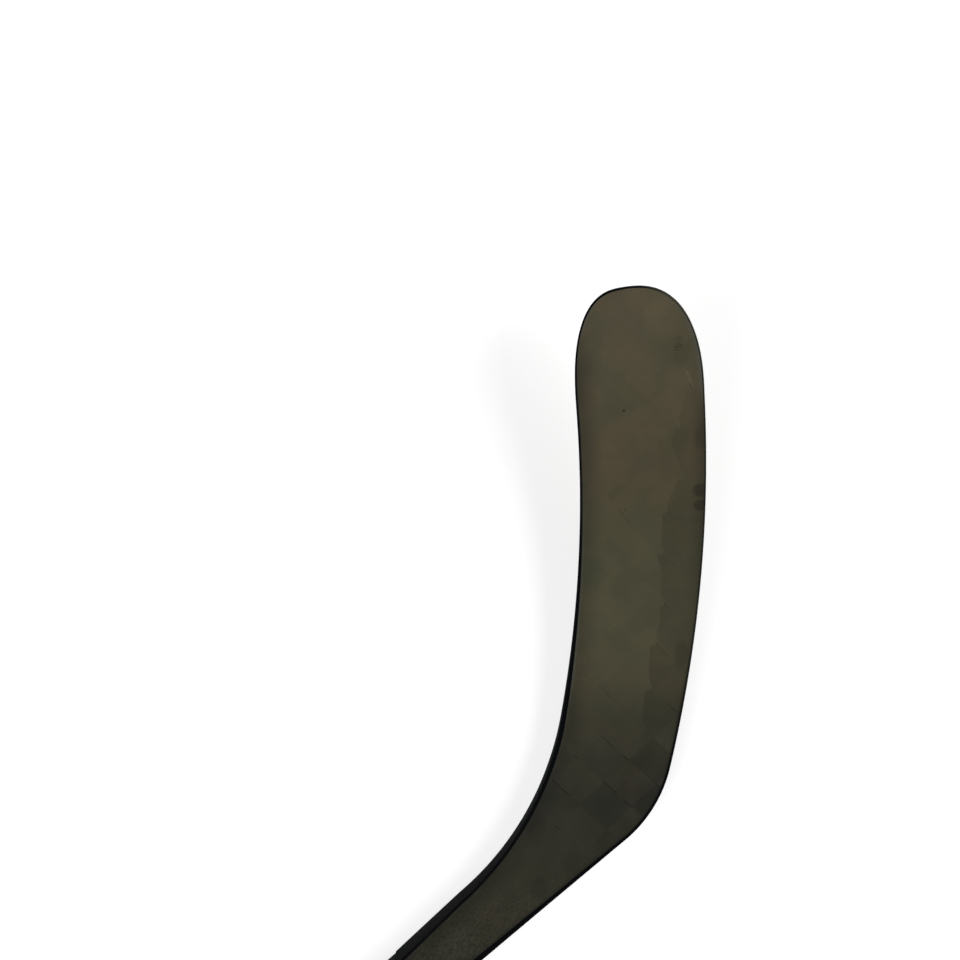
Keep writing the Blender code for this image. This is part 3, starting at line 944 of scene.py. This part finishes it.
CAMERA_FROM_HEEL = Vector((0.0654, 0.1970, 0.556))
CAMERA_TURN = math.radians(-41)
LENS = 35.03  # millimetres, on a 36 mm sensor
SENSOR = 36.0
CLIP_START = 0.01

BLADE_FROM_HEEL = Vector((0.10, 0.10, 0.0))
LAMPS = (  # name, place from the blade, size and power
    ("key", (1.0, -0.6, 0.9), 0.9, 15.0),
    ("fill", (-1.1, 0.3, 0.9), 1.2, 11.0),
)

FLOOR_REACH = 40.0
FLOOR_SQUARES = 8
FLOOR_DROP = 0.0003
FLOOR_TONE = 0.55
FLOOR_GLOW = 0.62

SURROUND_LOW = 0.95
SURROUND_HIGH = 0.10
SURROUND_HIGH_AT = 0.75
SURROUND_STRENGTH = 0.9


def make_floor():
    bm = bmesh.new()
    bmesh.ops.create_grid(bm, x_segments=FLOOR_SQUARES, y_segments=FLOOR_SQUARES,
                          size=FLOOR_REACH)
    mesh = bpy.data.meshes.new("floor")
    bm.to_mesh(mesh)
    bm.free()
    shader = Shader("floor_paper")
    shader.set("Base Color", (FLOOR_TONE, FLOOR_TONE, FLOOR_TONE, 1.0))
    shader.set("Roughness", 0.95)
    shader.set("Specular IOR Level", 0.0)
    shader.set("Emission Color", (1.0, 1.0, 1.0, 1.0))
    shader.set("Emission Strength", FLOOR_GLOW)
    mesh.materials.append(shader.material)
    floor = bpy.data.objects.new("floor", mesh)
    floor.location = (0.0, 0.0, -FLOOR_DROP)
    bpy.context.scene.collection.objects.link(floor)


def make_lamps():
    """Soft round lamps that face the blade."""
    blade = HEEL + BLADE_FROM_HEEL
    for name, away, size, power in LAMPS:
        lamp = bpy.data.lights.new(name, "AREA")
        lamp.shape = "DISK"
        lamp.size = size
        lamp.energy = power
        obj = bpy.data.objects.new(name, lamp)
        obj.location = blade + Vector(away)
        obj.rotation_euler = (-Vector(away)).to_track_quat("-Z", "Y").to_euler()
        bpy.context.scene.collection.objects.link(obj)


def make_world():
    """An even, pale surround, dimmer overhead so that satin faces keep their depth."""
    world = bpy.data.worlds.new("studio")
    bpy.context.scene.world = world
    world.use_nodes = True
    nodes = world.node_tree.nodes
    links = world.node_tree.links
    way = nodes.new("ShaderNodeTexCoord")
    height = nodes.new("ShaderNodeSeparateXYZ")
    ramp = nodes.new("ShaderNodeValToRGB")
    links.new(way.outputs["Generated"], height.inputs[0])
    links.new(height.outputs[2], ramp.inputs["Fac"])
    low, high = ramp.color_ramp.elements
    low.color = (SURROUND_LOW, SURROUND_LOW, SURROUND_LOW, 1.0)
    high.color = (SURROUND_HIGH, SURROUND_HIGH, SURROUND_HIGH, 1.0)
    high.position = SURROUND_HIGH_AT
    links.new(ramp.outputs["Color"], nodes["Background"].inputs["Color"])
    nodes["Background"].inputs["Strength"].default_value = SURROUND_STRENGTH


def make_camera():
    camera = bpy.data.cameras.new("camera")
    camera.lens = LENS
    camera.sensor_width = SENSOR
    camera.clip_start = CLIP_START
    obj = bpy.data.objects.new("camera", camera)
    obj.location = HEEL + CAMERA_FROM_HEEL
    obj.rotation_euler = (0.0, 0.0, CAMERA_TURN)
    bpy.context.scene.collection.objects.link(obj)
    bpy.context.scene.camera = obj


def main():
    rungs = make_rungs()
    paint = edge_paint()
    make_skin("front_face", "blade_front_skin", rungs, 1, carbon_face("carbon_front", marks=True))
    make_skin("back_face", "blade_back_skin", rungs, -1, carbon_face("carbon_back", marks=False))
    make_rims(rungs, paint)
    make_shaft(shaft_finish())
    make_plug(cap_plastic())
    dress_inner_nodes()
    make_floor()
    make_world()
    make_lamps()
    make_camera()
    bpy.context.scene.view_settings.view_transform = "Standard"


main()
